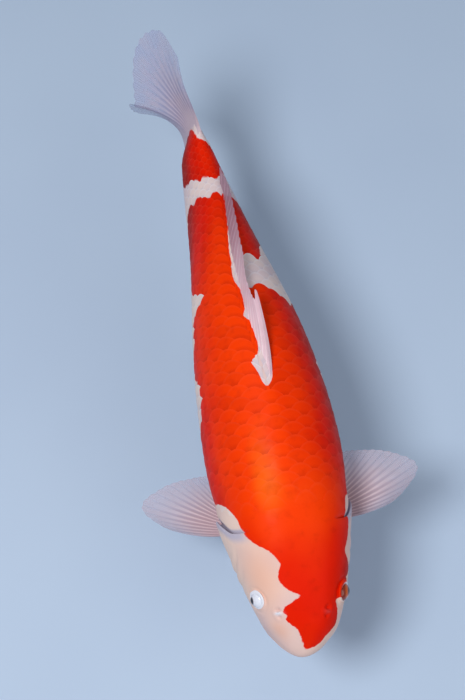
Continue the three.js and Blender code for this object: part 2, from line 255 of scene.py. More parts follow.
# The red patches, as outlines of [behind the snout, degrees round from the back to the fish's right].
markings = {
    "saddle": [
        [6, -14], [8, -4], [14, 1], [21, 7], [26, 16], [31, 24], [34, 20], [39, 25], [43, 21], [47, 10],
        [52, 2], [56, 9], [61, 16], [68, 21], [75, 20], [83, 16], [91, 20], [99, 27], [104, 34],
        [113, 43], [123, 48], [135, 52], [146, 58], [153, 63], [161, 75], [167, 92], [172, 104],
        [200, 108], [226, 102], [241, 88], [247, 78], [259, 76], [267, 70], [277, 67], [291, 68],
        [299, 80], [310, 88], [322, 80], [332, 74], [352, 72], [362, 61], [369, 54], [376, 42], [383, 54],
        [390, 66], [401, 78], [413, 85], [421, 79], [431, 88], [447, 98], [470, 102], [486, 94],
        [495, 74], [493, 45], [489, 20], [489, 0], [486, -12], [482, -28], [480, -48], [474, -62],
        [450, -66], [428, -66], [418, -55], [411, -50], [404, -42], [405, -30], [402, -18], [400, -6],
        [388, 2], [374, -3], [366, -17], [368, -32], [365, -41], [359, -52], [352, -63], [355, -74],
        [345, -84], [318, -86], [300, -80], [290, -68], [280, -67], [270, -76], [255, -88], [220, -94],
        [180, -92], [156, -84], [146, -67], [138, -63], [132, -61], [127, -61], [121, -65], [110, -65],
        [100, -61], [92, -57], [86, -64], [80, -76], [72, -74], [66, -66], [60, -70], [52, -62],
        [48, -48], [44, -50], [38, -57], [30, -62], [23, -57], [18, -52], [12, -48], [8, -34],
    ],
    "stem": [
        [511, -6], [511, 8], [513, 22], [515, 38], [521, 52], [520, 66], [524, 84], [530, 104],
        [540, 116], [562, 112], [582, 100], [585, 70], [575, 38], [565, 15], [561, 0], [558, -15],
        [556, -30], [553, -46], [549, -78], [538, -95], [526, -88], [520, -50], [517, -30], [513, -14],
    ],
    # white along the back fin's foot: behind the snout, degrees from its right edge to its left one
    "finFoot": [
        [254, 2.6, -2.6], [258, 3.3, -4], [266, 3.6, -7], [274, 5, -8], [280, 8, -8], [284, 4.5, -8],
        [289, -0.5, -8], [300, -3, -8], [326, -3.4, -8], [332, 1.2, -8], [341, -2, -8], [353, -3.2, -8],
        [366, -2.6, -8], [377, 1.2, -8], [385, -1, -7], [402, -1.2, -6], [424, -2.6, -5.4],
        [446, -4, -5.4], [480, -4.2, -5], [494, -4.6, -4.6],
    ],
    "reach": 30,  # distances from an edge are kept within this
}


def ringRadius(x):  # a mean radius of the section, which turns degrees into millimetres
    return 0.25 * (topAt(x) - bottomAt(x)) + 0.5 * widthAt(x)


# Distance inside a patch's outline, in millimetres, negative outside it.
def insidePatch(outline, x, angle):
    corners = np.array(outline, float)
    before, after, beyond = np.roll(corners, 1, 0), np.roll(corners, -1, 0), np.roll(corners, -2, 0)
    t = np.linspace(0, 1, 4)[:-1, None, None]
    fine = 0.5 * (
        2 * corners
        + (after - before) * t
        + (2 * before - 5 * corners + 4 * after - beyond) * t**2
        + (3 * corners - before - 3 * after + beyond) * t**3
    )
    start = fine.transpose(1, 0, 2).reshape(-1, 2)
    end = np.roll(start, -1, 0)
    distance = np.empty(len(x))
    inside = np.empty(len(x), bool)
    batch = 4000  # points at a time, which spares memory
    for first in range(0, len(x), batch):
        part = slice(first, first + batch)
        perDegree = np.radians(ringRadius(np.clip(x[part], 8, body["flesh"])))
        scale = np.stack([np.ones(len(perDegree)), perDegree], 1)[:, None]
        point = np.stack([x[part], angle[part]], 1)[:, None]
        a, b = (start - point) * scale, (end - point) * scale
        along = b - a
        t = np.clip(-(a * along).sum(2) / np.maximum((along**2).sum(2), 1e-9), 0, 1)[..., None]
        distance[part] = np.sqrt(((a + along * t) ** 2).sum(2).min(1))
        crosses = (a[..., 1] > 0) != (b[..., 1] > 0)
        fall = np.where(along[..., 1] == 0, 1e-9, along[..., 1])
        inside[part] = (crosses & (a[..., 0] - a[..., 1] * along[..., 0] / fall > 0)).sum(1) % 2 == 1
    return np.where(inside, distance, -distance)


def redness(x, degrees):  # distance inside the red
    patches = [insidePatch(markings[name], x, degrees) for name in ("saddle", "stem")]
    return np.clip(np.maximum(*patches), -markings["reach"], markings["reach"])


def offFinFoot(x, degrees):  # distance outside the white along the back fin's foot
    foot = markings["finFoot"]
    front, rear = foot[0][0], foot[-1][0]
    right, left = [through(foot, column)(np.clip(x, front, rear)) for column in (1, 2)]
    beyondEnds = np.maximum(front - x, x - rear)
    beside = np.radians(np.maximum(degrees - right, left - degrees)) * topAt(np.clip(x, 0, body["flesh"]))
    return np.clip(np.maximum(beside, beyondEnds), -markings["reach"], markings["reach"])


# How deep the red is, from amber below 0 through orange to a dark red past 1, by regions of the fish. The
# flank terms and the terms on the fish's left are painted shade, darker towards the sides and on the side
# away from the light.
redDepthAndShade = {
    "head": 0.6, "flankShade": 0.25, "lowFlankShade": 0.6, "leftOfRidgeShade": 0.22, "lowLeftShade": 0.35, "rear": 0.6,
    "amber": 0.42, "amberAt": (165, 18),  # the lightest place: behind the snout, degrees
    "limits": (-0.5, 1.6),
}


def deepness(x, degrees):
    d = redDepthAndShade
    aside = np.abs(degrees)
    head = d["head"] * (1 - smooth(x, 60, 150))
    # painted shade: the red darkens towards both sides, more so low on them
    flankShade = d["flankShade"] * smooth(aside, 12, 45) + d["lowFlankShade"] * smooth(aside, 45, 90)
    # painted shade on the fish's left, beside the back's ridge and low on its flank, the side away from the
    # light
    besideRidgeShade = smooth(-degrees, 0, 9) * smooth(x, 150, 210) * (1 - smooth(x, 500, 540))
    leftOfRidgeShade = d["leftOfRidgeShade"] * besideRidgeShade
    lowLeftShade = d["lowLeftShade"] * smooth(-degrees, 28, 60) * smooth(x, 130, 200)
    amber = d["amber"] * hump(degrees - d["amberAt"][1], 17) * hump(x - d["amberAt"][0], 48)
    rear = d["rear"] * smooth(x, 330, 520)
    return np.clip(head + flankShade + leftOfRidgeShade + lowLeftShade - amber + rear, *d["limits"])


print("koi: frame and markings ready")


def tone(*levels):  # a screen colour as a linear one
    shares = [level / 255 for level in levels]
    return tuple(((c + 0.055) / 1.055) ** 2.4 if c > 0.04 else c / 12.92 for c in shares) + (1,)


# Short calls for a material's nodes.
class Nodes:
    def __init__(self, name):
        self.material = bpy.data.materials.new(name)
        self.material.use_nodes = True
        self.tree = self.material.node_tree
        self.shader = self.tree.nodes["Principled BSDF"]

    def add(self, kind, inputs=(), output=0, **settings):
        node = self.tree.nodes.new(kind)
        for key, value in settings.items():
            setattr(node, key, value)
        for key, value in dict(inputs).items():
            self.feed(node, key, value)
        return node.outputs[output]

    def feed(self, node, key, value):
        if isinstance(value, bpy.types.NodeSocket):
            self.tree.links.new(value, node.inputs[key])
        else:
            node.inputs[key].default_value = value

    def maths(self, operation, a, b=0.0, c=0.0):
        return self.add("ShaderNodeMath", {0: a, 1: b, 2: c}, operation=operation)

    def attribute(self, name):
        return self.add("ShaderNodeAttribute", output="Fac", attribute_name=name)

    def ramp(self, value, low, high, start=0.0, end=1.0):
        ends = {"Value": value, "From Min": low, "From Max": high, "To Min": start, "To Max": end}
        return self.add("ShaderNodeMapRange", ends, interpolation_type="SMOOTHSTEP")

    def noise(self, scale, detail=2.0):
        where = self.add("ShaderNodeTexCoord", output="Object")
        return self.add("ShaderNodeTexNoise", {"Vector": where, "Scale": scale, "Detail": detail})

    def blend(self, share, a, b):
        return self.add("ShaderNodeMix", {0: share, 6: a, 7: b}, output=2, data_type="RGBA")

    def bump(self, height, strength, distance):
        return self.add("ShaderNodeBump", {"Height": height, "Strength": strength, "Distance": distance})

    def finish(self, **inputs):
        for key, value in inputs.items():
            self.feed(self.shader, key.replace("_", " "), value)
        return self.material


skinColours = {
    "amber": tone(254, 97, 0),
    "orange": tone(250, 61, 0),
    "red": tone(230, 28, 0),
    # deep red, used also as painted shade on the flanks, the fish's left and the scales' roots
    "deepRed": tone(146, 12, 4),
    "white": tone(240, 218, 206),
    "shade": tone(214, 193, 199),
    "blush": tone(236, 186, 164),
    "membrane": tone(178, 178, 202),
    "lip": tone(226, 172, 164),
    "eyeRim": tone(236, 240, 250),
    # a light net for the scales' free edges: partly their own net, partly painted highlight
    "netAndRimHighlight": tone(252, 150, 110),
    # painted shade for the roots of white scales
    "whiteRootShade": tone(196, 188, 202),
}


# The koi's skin: red patches on white, with the same pattern on bare skin and on scales.
def koiSkin(name, scaled):
    n = Nodes(name)
    c = skinColours
    broad, fine = n.noise(14, 3), n.noise(90, 3)
    edgeNoise = n.noise(140 if scaled else 260, 2)
    wander = n.maths("MULTIPLY_ADD", edgeNoise, 2.4, -1.2)
    mask = n.ramp(n.maths("ADD", n.attribute("hi"), wander), -0.55, 0.55)
    # the red's depth: its own tone by region and at random, with painted shade towards the flanks and on
    # the fish's left
    deep = n.maths("ADD", n.attribute("deep"), n.maths("MULTIPLY_ADD", broad, 0.6, -0.3))
    red = n.blend(n.ramp(deep, -0.5, 0.0), c["amber"], c["orange"])
    red = n.blend(n.ramp(deep, 0.0, 0.75), red, c["red"])
    red = n.blend(n.ramp(deep, 0.6, 1.5, 0.0, 0.85), red, c["deepRed"])
    red = n.blend(n.ramp(fine, 0.5, 0.85, 0.0, 0.2), red, c["deepRed"])
    white = n.blend(n.ramp(broad, 0.35, 0.75), c["white"], c["shade"])
    if scaled:
        along, own = n.attribute("along"), n.attribute("own")
        # painted shade over each scale's root, where the scale in front covers it, on red and on white
        # scales
        rootShade = n.maths("SUBTRACT", 1.0, n.ramp(along, 0.44, 0.66))
        rim = n.ramp(along, 0.86, 0.99)
        red = n.blend(n.maths("MULTIPLY", rootShade, 0.2), red, c["deepRed"])
        red = n.blend(n.maths("MULTIPLY", n.ramp(own, 0.0, 1.2), 0.12), red, c["deepRed"])
        # a light net along each scale's free edge, on red and on white: partly the scales' own net, partly
        # painted highlight
        red = n.blend(n.maths("MULTIPLY", rim, n.ramp(deep, 0.2, 1.2, 0.03, 0.07)), red, c["netAndRimHighlight"])
        white = n.blend(n.maths("MULTIPLY", rootShade, 0.4), white, c["whiteRootShade"])
        white = n.blend(n.maths("MULTIPLY", rim, 0.25), white, c["eyeRim"])
        colour = n.blend(mask, white, red)
    else:
        white = n.blend(n.attribute("blush"), white, c["blush"])
        white = n.blend(n.attribute("lip"), white, c["lip"])
        colour = n.blend(mask, white, red)
        colour = n.blend(n.attribute("membrane"), colour, c["membrane"])
        colour = n.blend(n.attribute("pale"), colour, c["eyeRim"])
    grain = n.maths("ADD", fine, n.maths("MULTIPLY", n.noise(420, 2), 0.5))
    return n.finish(
        Base_Color=colour, Roughness=n.ramp(fine, 0.3, 0.7, 0.42, 0.56), Specular_IOR_Level=0.05,
        Coat_Weight=0.009, Coat_Roughness=0.16, Normal=n.bump(grain, 0.12, 0.0006),
    )


skinMaterial = koiSkin("koi_skin", False)
scaleMaterial = koiSkin("koi_scales", True)


# A fin: bony rays in a clear web, fleshy at the root and clearer towards the edge.
def finMaterial(name, look):
    n = Nodes(name)
    ray, reach, flesh = n.attribute("ray"), n.attribute("reach"), n.attribute("flesh")
    streak = n.noise(60, 3)
    colour = n.blend(ray, look["web"], look["rays"])
    colour = n.blend(n.ramp(reach, 0.3, 1.0, 0.0, 0.75), colour, look["margin"])
    colour = n.blend(n.ramp(streak, 0.35, 0.75, 0.0, 0.35), colour, tone(206, 178, 184))
    colour = n.blend(flesh, colour, look["root"])
    web = n.ramp(reach, 0.1, 1.0, look["rootAlpha"], look["edgeAlpha"])
    rays = n.ramp(reach, 0.1, 1.05, 0.97, look["edgeAlpha"] + 0.12)
    if "rear" in look:
        rear = n.attribute("rear")
        colour = n.blend(n.maths("MULTIPLY", rear, look["rearTint"]), colour, look["rear"])
        web = n.maths("MULTIPLY", web, n.ramp(rear, 0.0, 1.0, 1.0, look["rearAlpha"]))
    alpha = n.maths("MAXIMUM", web, n.maths("MULTIPLY", ray, rays))
    return n.finish(
        Base_Color=colour, Alpha=n.maths("MAXIMUM", alpha, flesh), Roughness=0.42,
        Specular_IOR_Level=0.25, Coat_Weight=0.1, Coat_Roughness=0.2,
        Normal=n.bump(n.noise(500, 2), 0.08, 0.0004),
    )


pairedFinMaterial = finMaterial(
    "koi_paired_fins",
    {"rays": tone(240, 215, 219), "web": tone(198, 168, 178), "margin": tone(184, 188, 212),
     "root": tone(226, 204, 200), "rootAlpha": 0.92, "edgeAlpha": 0.34},
)
tailFinMaterial = finMaterial(
    "koi_tail_fin",
    {"rays": tone(206, 188, 202), "web": tone(160, 146, 172), "margin": tone(150, 160, 202),
     "root": tone(206, 182, 190), "rootAlpha": 0.9, "edgeAlpha": 0.28},
)
backFinMaterial = finMaterial(
    "koi_back_fin",
    {"rays": tone(255, 232, 236), "web": tone(244, 208, 218), "margin": tone(232, 198, 210),
     "root": tone(236, 214, 212), "rootAlpha": 0.95, "edgeAlpha": 0.72,
     "rear": tone(150, 104, 128), "rearTint": 0.75, "rearAlpha": 0.72},
)


def barbelMaterial():
    n = Nodes("koi_barbels")
    colour = n.blend(n.noise(220, 2), tone(228, 196, 186), tone(238, 216, 206))
    return n.finish(Base_Color=colour, Roughness=0.4, Coat_Weight=0.2, Coat_Roughness=0.2)


# The skin is one mesh from the lips to the foot of the tail fin.
skin = {
    "sides": 288,
    "noseRings": 26,
    "tip": 0.14,  # the first ring's distance behind the snout
    "clearance": 0.02,  # the lips stop this far inside the solids' box
    "headStep": 1.5,
    "trunkStep": 4.5,
    "coatDepth": 0.85,  # the skin lies this far under the scales' tops
    # the fold at the gill opening: offset behind the edge, depth and share of the cover's flare
    "fold": [
        [-2.6, 0.0, 1], [-1.2, 0.25, 1], [-0.2, 1.0, 1], [-0.9, 2.1, 1], [-4.0, 3.4, 1], [-4.5, 5.2, 0.4],
        [-1.2, 3.2, 0], [2.4, 0.9, 0],
    ],
    "napeStep": 0.8,
    "endRings": [566, 570, 574, 578, 582, 586, 589, 591],  # the wedge over the tail fin's root
    "endWidth": [[556, 16.3], [566, 12.6], [575, 8.2], [584, 4.2], [592, 0.9]],
    "endFlattening": 0.12,
}
eyes = {
    "x": 57.5, "y": 38, "z": 15, "radius": 10.6, "axis": Vector((-0.12, 0.98, 0.17)).normalized(),
    "bulge": 1.1, "bulgeDegrees": 26, "pupil": (3.6, 4.0), "pupilRing": (4.0, 5.0), "rim": (6.4, 7.8),
}
mouth = {"line": [[0, -16.5], [12, -19], [24, -24], [32, -28.5]], "corner": 31}
nostril = {"x": 38, "angle": 33, "radius": 42}
# heights and depths of the head's relief
relief = {
    "upperLip": 1.5, "lowerLip": 1.3, "mouthSlit": 2.6, "lipGroove": 0.8, "chinGroove": 0.6,
    "frontNostril": 2.4, "rearNostril": 1.7, "nostrilFlap": 2.0, "nostrilRim": 0.5,
    "eyeRim": 0.9, "eyeSocket": 4.5, "eyeGroove": 0.8,
    "plateLine": 1.1, "cheekLine": 0.6, "plateEdge": 0.7, "cheekEdge": 0.5, "ribs": 0.07,
    "pore": 0.5, "crease": 0.6, "nape": 0.8, "snout": 0.25,
}
headPores = [
    [46, 1], [50, -3], [56, -6], [63, -6], [70, -3], [75, 2], [78, 9], [40, 4], [35, 2], [80, 17],
    [83, -14], [82, -22], [84, -30], [88, -38], [94, -45], [84, -6],
]
coverFront = [[-50, 108], [-36, 97], [-18, 94], [2, 96], [20, 103], [31, 116], [36, 134]]


# Relief of the bare head, as height outwards in millimetres, and its tints.
def headRelief(x, angle, y, z):
    r = relief
    degrees = np.degrees(np.abs(angle))
    # lips along the mouth line
    above = z - through(mouth["line"])(np.clip(x, 0, 34))
    near = (1 - smooth(x, mouth["corner"] - 3, mouth["corner"] + 3)) * smooth(degrees, 60, 85)
    lift = near * (r["upperLip"] * hump(above - 3.2, 2.1) + r["lowerLip"] * hump(above + 3.2, 2.2))
    lift -= near * r["mouthSlit"] * hump(above, 1.0)
    lift -= near * (r["lipGroove"] * hump(above - 8.2, 1.3) + r["chinGroove"] * hump(above + 8.5, 1.6))
    lips = near * np.maximum(hump(above - 3, 3), hump(above + 3, 3))
    # nostrils with a flap between the two openings
    dx = x - nostril["x"]
    across = np.radians(degrees - nostril["angle"]) * nostril["radius"]
    flap = hump(dx + 0.3, 1.6) * hump(across, 4.2)
    lift -= r["frontNostril"] * hump(dx - 3.0, 1.9) * hump(across, 2.8)
    lift -= r["rearNostril"] * hump(dx + 3.6, 1.5) * hump(across, 2.2)
    lift += r["nostrilFlap"] * flap + r["nostrilRim"] * hump(np.hypot(dx, across) - 6.5, 1.8)
    # the eye's socket and rim
    side = np.sign(y)
    off = np.stack([x - eyes["x"], side * y - eyes["y"], z - eyes["z"]], 1)
    axis = np.array(eyes["axis"])
    fromAxis = np.linalg.norm(off - (off @ axis)[:, None] * axis, axis=1)
    lift += r["eyeRim"] * hump(fromAxis - 9.5, 2.4) - r["eyeGroove"] * hump(fromAxis - 13.6, 2)
    lift -= r["eyeSocket"] * (1 - smooth(fromAxis, 5.0, 7.8))
    # the gill cover's plate and the line of the cheek in front of it
    behindFront = x - through(coverFront)(np.clip(z, -50, 36))
    plate = smooth(z, -58, -46) * (1 - smooth(z, 12, 27)) * smooth(degrees, 30, 45)
    lift -= plate * (r["plateLine"] * hump(behindFront, 2.6) + r["cheekLine"] * hump(behindFront + 15, 3.2))
    lift += plate * (r["plateEdge"] * hump(behindFront - 6, 5) + r["cheekEdge"] * hump(behindFront + 7, 4))
    fan = np.sin(np.degrees(np.arctan2(z + 4, behindFront + 10)) * 0.42)  # faint ribs fan over the plate
    lift += plate * r["ribs"] * fan * smooth(behindFront, 10, 24)
    # pores of the sense canals: round the eye, down the cheek and over the crown
    for poreX, poreZ in headPores:
        lift -= r["pore"] * hump(np.hypot(x - poreX, z - poreZ), 1.0) * smooth(degrees, 25, 40)
    # a crease from the eye to the corner of the mouth
    creaseAt = mix(eyes["z"] - 12, mouth["line"][-1][1] + 2, np.clip((50 - x) / 18, 0, 1))
    crease = hump(z - creaseAt, 1.6) * smooth(x, 30, 36) * (1 - smooth(x, 48, 56)) * smooth(degrees, 60, 75)
    lift -= r["crease"] * crease
    lift += r["nape"] * hump(x - 92, 16) * hump(degrees, 26)  # the low hump of the nape
    lift -= r["snout"] * (1 - smooth(x, 0, 8))
    return lift, {"lip": lips, "flap": flap * np.where(side > 0, 1.1, 0.04)}


def wedged(x, y):  # the skin and scales narrow to a wedge over the tail fin's root
    width = through(skin["endWidth"])(np.clip(x, 556, 592)) / widthAt(np.clip(x, 0, body["flesh"]))
    return y * mix(1, width, smooth(x, 548, 560))


def makeSkin():
    s = skin
    mean = body["meanGillEdge"]  # a ring follows the gill opening, and is here before it is moved there
    nose = body["noseLength"] * (1 - np.cos(np.linspace(0, math.pi / 2, s["noseRings"] + 1)))
    head = np.arange(body["noseLength"] + s["headStep"], mean - 3, s["headStep"])
    trunk = np.arange(mean + 5, s["endRings"][0] - 1, s["trunkStep"])
    folds = len(s["fold"])
    firstFold = len(nose) + len(head)
    stations = np.concatenate([nose, head, np.full(folds, mean), trunk, s["endRings"]])
    last = len(stations)  # the far pole
    farEnd = s["endWidth"][-1][0]

    bm = bmesh.new()
    bmesh.ops.create_uvsphere(bm, u_segments=s["sides"], v_segments=last, radius=1)
    at = places(bm)
    ring = np.round(np.arccos(np.clip(at[:, 2], -1, 1)) / math.pi * last).astype(int)
    angle = np.arctan2(at[:, 1], at[:, 0])
    degrees = np.degrees(angle)
    aside = np.abs(degrees)
    base = np.concatenate([stations, [farEnd]])[ring]
    edge = gillEdgeAt(angle)

    # the rings near the gill opening follow it, and fold in under the cover where it is open
    isFold = (ring >= firstFold) & (ring < firstFold + folds)
    inFront, isBehind = ring < firstFold, ring >= firstFold + folds
    follow = np.where(inFront, smooth(base, 45, mean), 1 - smooth(base, mean, 240))
    follow = np.where(isFold, 1, follow)
    opening = smooth(aside, 38, 54) * (1 - smooth(aside, 150, 172))
    offset, inwards, cover = np.array(s["fold"])[np.clip(ring - firstFold, 0, folds - 1)].T
    evenly = (ring - firstFold - 3) * s["napeStep"]
    x = base + follow * (edge - mean) + np.where(isFold, mix(evenly, offset, opening), 0)
    x = np.maximum(x, s["tip"])
    flared = np.where(isFold, mix(1, cover, opening), np.where(inFront, 1, 0))
    fadeOut = 1 - smooth(x - edge, 0, 18)  # over the nape the flare fades away evenly
    flared = np.where(isBehind | (isFold & (ring > firstFold + 4)), mix(fadeOut, flared, opening), flared)
    underCoat = s["coatDepth"] * smooth(x - edge, mix(-3, 5, opening), 23)
    depth = np.where(isFold, mix(underCoat, inwards, opening), np.where(isBehind, underCoat, 0))
    depth = np.where(inFront, (1 - opening) * underCoat, depth)

    y, z = skinPoint(x, angle, 0, flared)
    lift, tint = headRelief(x, angle, y, z)
    lift *= np.where(inFront, 1, 0)
    y, z = skinPoint(x, angle, lift - depth, flared)
    y, z = wedged(x, y), z + keel(x, angle)
    level = levelAt(np.clip(x, 0, body["flesh"]))
    z = level + (z - level) * (1 - s["endFlattening"] * smooth(x, 572, farEnd))
    pole = ring == last
    y, z = np.where(pole, 0, y), np.where(pole, level, z)
    at = posed(x, y, z)
    at[:, 1] = np.maximum(at[:, 1], cadLow[1] + s["clearance"] * mm)
    place(bm, at)
    obj = piece("koi_skin", bm, skinMaterial)

    membrane = opening * np.where(inFront | isFold, 1 - smooth(edge - x, 3, 13), 0)
    cheek, besideSnout = hump(x - 75, 38) * hump(aside - 42, 30), hump(x - 22, 9) * hump(aside - 42, 20)
    red = np.minimum(redness(x, degrees), offFinFoot(x, degrees))
    paint(
        obj,
        hi=red,
        # red depth with painted shade towards the flanks and on the fish's left
        deep=deepness(x, degrees),
        lip=0.8 * tint["lip"] + 0.2 * (1 - smooth(x, 0, 40)),
        blush=0.7 * cheek + 0.5 * besideSnout + 0.25,
        membrane=0.75 * membrane * (1 - smooth(red, -1, 1.5)) + 0.45 * smooth(x, 562, 590),
        pale=np.clip(tint["flap"], 0, 1),
    )
    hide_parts("head", "lower_jaw", "gill_cover_left", "gill_cover_right", "trunk", "tail_stem")


makeSkin()
print("koi: skin done")

# Scales are overlapping plates in rows that run along the body.
scales = {
    "rows": 28,  # round the body, with one row along the back and one along the belly
    "spacing": [[110, 12.6], [180, 13.6], [300, 13.4], [420, 11.8], [500, 10.2], [560, 9.0], [600, 8.5]],
    "overlap": 1.75,  # a scale's length over the spacing
    "width": 0.97,  # half a scale's width over the rows' spacing
    "rounding": 0.42,  # share of its length that a scale loses at its sides
    "firstRounding": 0.33,  # and this much more in the first rows
    "rise": 0.62,  # from root to free edge, in millimetres
    "thickness": 0.22,
    "crown": 0.05,
    "sinkFront": 1.2,  # the first rows' roots and corners sink into the skin
    "sinkCorners": 1.0,
    "across": 8,
    "along": 4,
    "firstX": 118,
    "runUp": 24,
    "lastX": 567,
    "tongue": 9,  # how much further back they reach along the sides
    "lineRow": 7,  # the row of the lateral line, counted from the back
    "lineHeight": 0.45,
    "underFin": (234, 478),  # the row along the back stops for the fin
    "patch": 0.003,  # size of one scale on its map
}
rowStep = 360 / scales["rows"]


def scaleTemplate():
    bm = bmesh.new()
    bmesh.ops.create_grid(bm, x_segments=scales["along"], y_segments=scales["across"], size=1)
    bmesh.ops.solidify(bm, geom=bm.faces[:], thickness=1)
    faceOutwards(bm)
    return meshOf("one_scale", bm)


# Each scale's root, degrees, spacing, row and three random shares, behind the gill opening in each row.
def scaleRoots():
    c = scales
    rng = np.random.default_rng(7)
    spacing = through(c["spacing"])
    finFront, finRear = c["underFin"]
    found = []
    for row in range(c["rows"]):
        degrees = evenDegrees(row * rowStep)
        start = float(gillEdgeAt(np.radians(degrees + np.array([-1, -0.5, 0, 0.5, 1]) * rowStep)).max())
        last = c["lastX"] + c["tongue"] * abs(math.sin(math.radians(degrees))) ** 3
        stagger = 0.5 * (row % 2) * float(spacing(c["firstX"]))
        x = c["firstX"] - c["runUp"] - stagger
        while x < last:
            size = float(spacing(x))
            underFin = row == 0 and finFront < x < finRear
            if x > start + 1.5 and not underFin:
                found.append([x, degrees, size, row, *rng.normal(0, 1, 3)])
            x += size
    return np.array(found)


def makeScales(name, roots):
    c = scales
    mesh = scaleTemplate()
    bm = bmesh.new()
    for _ in roots:
        bm.from_mesh(mesh)
    at = places(bm).reshape(len(roots), len(mesh.vertices), 3)
    s, t, isUnder = (at[..., 0] + 1) / 2, at[..., 1], at[..., 2] < at[..., 2].mean()
    rootX, rootDegrees, size, row, byLength, byTurn, byLift = [roots[:, k, None] for k in range(7)]
    length = size * c["overlap"] * (1 + 0.02 * byLength)
    behindGill = rootX - gillEdgeAt(np.radians(rootDegrees))
    firstRows, frontRows = 1 - smooth(behindGill, 4, 24), 1 - smooth(behindGill, 16, 46)
    along = s * length * (1 - (c["rounding"] + c["firstRounding"] * firstRows) * np.abs(t) ** 2.2)
    x = rootX + along
    degrees = rootDegrees + t * c["width"] * rowStep * (1 - 0.1 * (1 - s)) + 0.12 * byTurn
    lift = c["rise"] * (along / length - 1) + c["crown"] * (1 - t * t) * s + 0.03 * byLift * s
    lift -= firstRows * (c["sinkFront"] * (1 - s) ** 2 + c["sinkCorners"] * t**4)
    isLine = (row == c["lineRow"]) | (row == c["rows"] - c["lineRow"])
    lift += np.where(isLine, c["lineHeight"] * hump(t, 0.16) * hump(s - 0.72, 0.2), 0)
    lift -= np.where(isUnder, c["thickness"], 0)
    y, z = skinPoint(x, np.radians(degrees), lift)
    degrees = evenDegrees(degrees)
    z = z + keel(x, np.radians(degrees))
    place(bm, posed(x, wedged(x, y), z).reshape(-1, 3))
    obj = piece(name, bm, scaleMaterial)

    # behind the shoulders a scale takes half of its colour as a whole, so edges follow the scales
    own = redness(x.ravel(), degrees.ravel()).reshape(x.shape)
    whole = redness((rootX + 1.3 * size).ravel(), rootDegrees.ravel())[:, None]
    paint(
        obj,
        hi=np.minimum(mix(own, whole, 0.08 + 0.47 * smooth(x, 150, 250)), offFinFoot(x, degrees)).ravel(),
        # red depth with painted shade towards the flanks and on the fish's left
        deep=deepness(x, degrees).ravel(),
        # the share along each scale places its painted root shade and rim highlight; the front rows, where
        # it is raised, get less of both
        along=np.maximum(s, 0.8 * frontRows).ravel(),
        own=(byLength * (1 - firstRows) + 0 * x).ravel(),
    )
    # each scale has a small patch of the map, where its root is on the body's unwrapped shape
    u = 0.02 + 0.96 * rootX / 600 + c["patch"] * (s - 0.5)
    v = 0.5 + 0.96 * rootDegrees / 360 + c["patch"] * t / 2
    corners = np.array([loop.vertex_index for loop in obj.data.loops])
    layer = obj.data.uv_layers.new(name="OFBake")
    layer.data.foreach_set("uv", np.stack([u.ravel(), v.ravel()], 1)[corners].astype(np.float32).ravel())
    bpy.data.meshes.remove(mesh)


allRoots = scaleRoots()
isRight = allRoots[:, 1] >= 0
makeScales("koi_scales_right", allRoots[isRight])
makeScales("koi_scales_left", allRoots[~isRight])
print("koi: scales done,", len(allRoots))

# Fins are thin blades with rays, on the same sheets as the solids. Each sheet gives the place of a point
# at a share u from the front ray to the rear one and a share r from the root to the edge.
finSheets = {
    "dorsal": {
        "start": 238, "end": 488, "sunk": 4, "bow": 4, "tuck": 0.22,
        "rays": [[0, 112, 19, 17], [0.2, 72, 18, 16], [0.5, 46, 14, 14.5], [0.8, 34, 11, 9], [1, 34, 6, 7]],
    },
    "caudal": {
        "start": 565, "middle": 4, "halfRoot": 30, "rise": 33, "drop": 24, "cup": 42, "curl": -23,
        "rays": [[0, 84], [0.08, 118], [0.25, 124], [0.5, 86], [0.75, 119], [0.92, 126], [1, 106]],
    },
    "pectoral": {
        "front": (142, 45, -42), "rear": (160, 42, -52), "fan": 77, "sweep": 16, "tipLift": 9,
        "left": (-15, 24), "right": (-5, -1),
        "rays": [[0, 67], [0.12, 83], [0.28, 101], [0.45, 88], [0.7, 66], [1, 50]],
    },
    "pelvic": {
        "front": (286, 33, -62), "rear": (304, 17, -72),
        "frontRay": Vector((0.75, 0.3, -0.55)).normalized(),
        "rearRay": Vector((0.95, 0.06, -0.28)).normalized(),
        "rays": [[0, 62], [0.25, 76], [0.55, 66], [1, 38]],
    },
    "anal": {
        "start": 474, "end": 500, "sunk": 5, "frontDrop": 50, "rearDrop": 24,
        "rays": [[0, 54], [0.2, 60], [0.6, 46], [1, 30]],
    },
}


def dorsalSheet(u, r):
    f = finSheets["dorsal"]
    u, r = np.clip(u, 0, 1), np.asarray(r, float)
    back, rise, lean = [through(f["rays"], column)(u) for column in (1, 2, 3)]
    lean = lean * (1 - f["tuck"] * smooth(u, 0.07, 0.13) * (1 - smooth(u, 0.28, 0.5)))
    x = mix(f["start"], f["end"], u) + back * r
    bow = f["bow"] * (1 - smooth(u, 0, 0.4)) * 4 * r * (1 - r)
    return x, -lean * r - bow, topAt(x) + rise * r - f["sunk"] * (1 - r)


def caudalSheet(u, r):
    f = finSheets["caudal"]
    spread = 1 - 2 * u
    angle = np.radians(np.where(spread > 0, f["rise"], f["drop"]) * spread)
    reach = through(f["rays"])(u) * r
    flick = f["cup"] * np.cos(spread * math.pi / 2) * r * r
    return (
        f["start"] + reach * np.cos(angle),
        flick + f["curl"] * np.maximum(-spread, 0) * r * r * r,
        f["middle"] + f["halfRoot"] * spread + reach * np.sin(angle) * mix(0.35, 1.1, r),
    )


